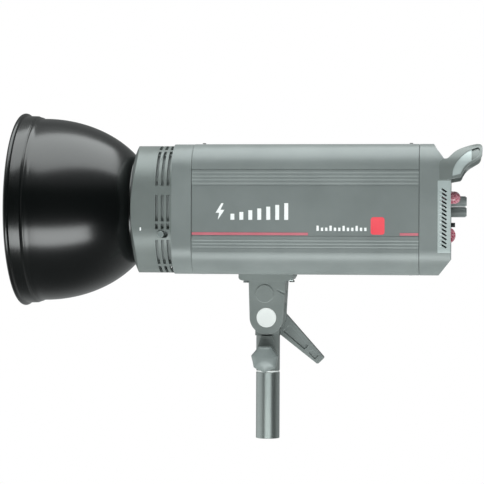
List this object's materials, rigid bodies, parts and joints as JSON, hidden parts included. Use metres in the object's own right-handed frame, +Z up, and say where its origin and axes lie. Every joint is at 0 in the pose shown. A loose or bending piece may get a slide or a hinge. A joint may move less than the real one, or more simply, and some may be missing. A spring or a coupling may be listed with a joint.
{
  "type": "studio flash head",
  "caption": "Studio flash head with a rounded square body, vented front ring, bowl reflector and rear handle, on a tilting bracket that clamps to a stand spigot.",
  "frame": {"origin": "centre of the stand tube's lower end", "axes": "+Z up along the stand tube, X along the head with the reflector towards -X and the controls towards +X, +Y towards the tilt lever's side"},
  "size_m": [0.5062, 0.2136, 0.3573],
  "materials": {
    "housing": "satin powder coat",
    "ring_plastic": "fine moulded texture",
    "plate_print": "flat printed panel",
    "red_trim": "gloss",
    "reflector_black": "satin black enamel",
    "bayonet_steel": "turned",
    "bright_steel": "brushed",
    "polished_disc": "polished",
    "ceramic_white": "matte",
    "flash_glass": "clear",
    "lamp_glass": "frosted",
    "cast_bracket": "cast, satin grey",
    "lever_plastic": "moulded",
    "knob_plastic": "moulded",
    "tube_steel": "satin",
    "nylon_white": "matte",
    "fibre_black": "matte",
    "panel_dark": "satin",
    "silver_trim": "satin",
    "black_plastic": "matte",
    "dial_plastic": "ribbed",
    "red_lens": "translucent gloss",
    "display_glass": "gloss",
    "tray_steel": "zinc plated",
    "capacitor_sleeve": "sleeve",
    "board_green": "matte",
    "winding": "varnished"
  },
  "bodies": {
    "stand": {"stand_tube": "tube_steel", "stand_spigot": "bright_steel", "pan_washer": "nylon_white"},
    "receiver_body": {"receiver": "cast_bracket", "friction_washers": "fibre_black"},
    "star": {"star_knob": "knob_plastic", "star_screw": "bright_steel"},
    "head": {"bracket_yoke": "cast_bracket", "bracket_plate": "cast_bracket", "bracket_screws": "bright_steel", "pivot_disc": "polished_disc", "tilt_axle": "bright_steel", "body_shell": "housing", "side_plates": "plate_print", "red_stripes": "red_trim", "shell_screws": "bright_steel", "front_collar": "housing", "front_ring": "ring_plastic", "front_bulkhead": "tray_steel", "mount_socket": "bayonet_steel", "glare_plate": "polished_disc", "lamp_base": "ceramic_white", "flash_tube": "flash_glass", "lamp_socket": "ceramic_white", "modelling_lamp": "lamp_glass", "rear_cap": "housing", "rear_panel": "panel_dark", "vent_strip_left": "silver_trim", "vent_strip_right": "silver_trim", "handle": "ring_plastic", "handle_inlays": "silver_trim", "slave_dome": "red_lens", "display_window": "display_glass", "mains_inlet": "black_plastic", "sync_socket": "black_plastic", "fuse_holder": "black_plastic", "rocker_frame": "black_plastic", "fan_frame": "black_plastic", "chassis_tray": "tray_steel", "capacitor_bank": "capacitor_sleeve", "power_board": "board_green", "transformer": "winding"},
    "lever": {"tilt_lever": "lever_plastic", "lever_cap": "bright_steel"},
    "umbrella_lock": {"umbrella_screw": "bright_steel"},
    "clamp": {"clamp_screw": "bright_steel"},
    "reflector": {"reflector_bowl": "reflector_black", "reflector_rim": "reflector_black", "reflector_bayonet": "bayonet_steel"},
    "release": {"release_button": "knob_plastic"},
    "power_dial": {"dial_power": "dial_plastic"},
    "lamp_dial": {"dial_lamp": "dial_plastic"},
    "test": {"test_button": "black_plastic"},
    "sound_key": {"key_sound": "black_plastic"},
    "cell_key": {"key_cell": "black_plastic"},
    "lamp_key": {"key_lamp": "black_plastic"},
    "rocker": {"power_rocker": "red_lens"},
    "fuse": {"fuse_cap": "black_plastic"},
    "fan": {"fan_rotor": "black_plastic"}
  },
  "joints": [
    {"name": "head_pan", "type": "hinge", "parent": "stand", "child": "receiver_body", "pos_m": [0, 0, 0.09], "axis": [0, 0, 1], "continuous": true},
    {"name": "stand_knob_turn", "type": "hinge", "parent": "receiver_body", "child": "star", "pos_m": [0, -0.03, 0.0888], "axis": [0, 1, 0], "continuous": true},
    {"name": "head_tilt", "type": "hinge", "parent": "receiver_body", "child": "head", "pos_m": [0, 0, 0.1329], "axis": [0, 1, 0], "range_deg": [-80, 90]},
    {"name": "tilt_lever_turn", "type": "hinge", "parent": "head", "child": "lever", "pos_m": [0, 0.026, 0.1329], "axis": [0, 1, 0], "range_deg": [-60, 150]},
    {"name": "umbrella_screw_turn", "type": "hinge", "parent": "head", "child": "umbrella_lock", "pos_m": [0, 0.027, 0.1609], "axis": [0, 1, 0], "continuous": true},
    {"name": "clamp_screw_turn", "type": "hinge", "parent": "head", "child": "clamp", "pos_m": [0.024, -0.018, 0.17635], "axis": [1, 0, 0], "continuous": true},
    {"name": "reflector_twist", "type": "hinge", "parent": "head", "child": "reflector", "pos_m": [-0.144, 0, 0.2505], "axis": [1, 0, 0], "range_deg": [0, 22]},
    {"name": "release_slide", "type": "slide", "parent": "head", "child": "release", "axis": [1, 0, 0], "range_m": [0, 0.004], "stiffness_N_per_m": 600, "springref_m": -0.001},
    {"name": "power_dial_turn", "type": "hinge", "parent": "head", "child": "power_dial", "pos_m": [0.196, -0.022, 0.2598], "axis": [1, 0, 0], "range_deg": [-150, 150]},
    {"name": "lamp_dial_turn", "type": "hinge", "parent": "head", "child": "lamp_dial", "pos_m": [0.196, -0.006, 0.2486], "axis": [1, 0, 0], "range_deg": [-150, 150]},
    {"name": "test_press", "type": "slide", "parent": "head", "child": "test", "axis": [-1, 0, 0], "range_m": [0, 0.0012], "stiffness_N_per_m": 1500, "springref_m": -0.0006},
    {"name": "sound_press", "type": "slide", "parent": "head", "child": "sound_key", "axis": [-1, 0, 0], "range_m": [0, 0.0012], "stiffness_N_per_m": 1500, "springref_m": -0.0006},
    {"name": "cell_press", "type": "slide", "parent": "head", "child": "cell_key", "axis": [-1, 0, 0], "range_m": [0, 0.0012], "stiffness_N_per_m": 1500, "springref_m": -0.0006},
    {"name": "lamp_press", "type": "slide", "parent": "head", "child": "lamp_key", "axis": [-1, 0, 0], "range_m": [0, 0.0012], "stiffness_N_per_m": 1500, "springref_m": -0.0006},
    {"name": "rocker_tilt", "type": "hinge", "parent": "head", "child": "rocker", "pos_m": [0.194, -0.048, 0.2231], "axis": [0, 1, 0], "range_deg": [-6, 6]},
    {"name": "fuse_cap_turn", "type": "hinge", "parent": "head", "child": "fuse", "pos_m": [0.196, 0.013, 0.2165], "axis": [1, 0, 0], "range_deg": [0, 90]},
    {"name": "fan_spin", "type": "hinge", "parent": "head", "child": "fan", "pos_m": [0.135, 0, 0.2505], "axis": [1, 0, 0], "continuous": true}
  ]
}
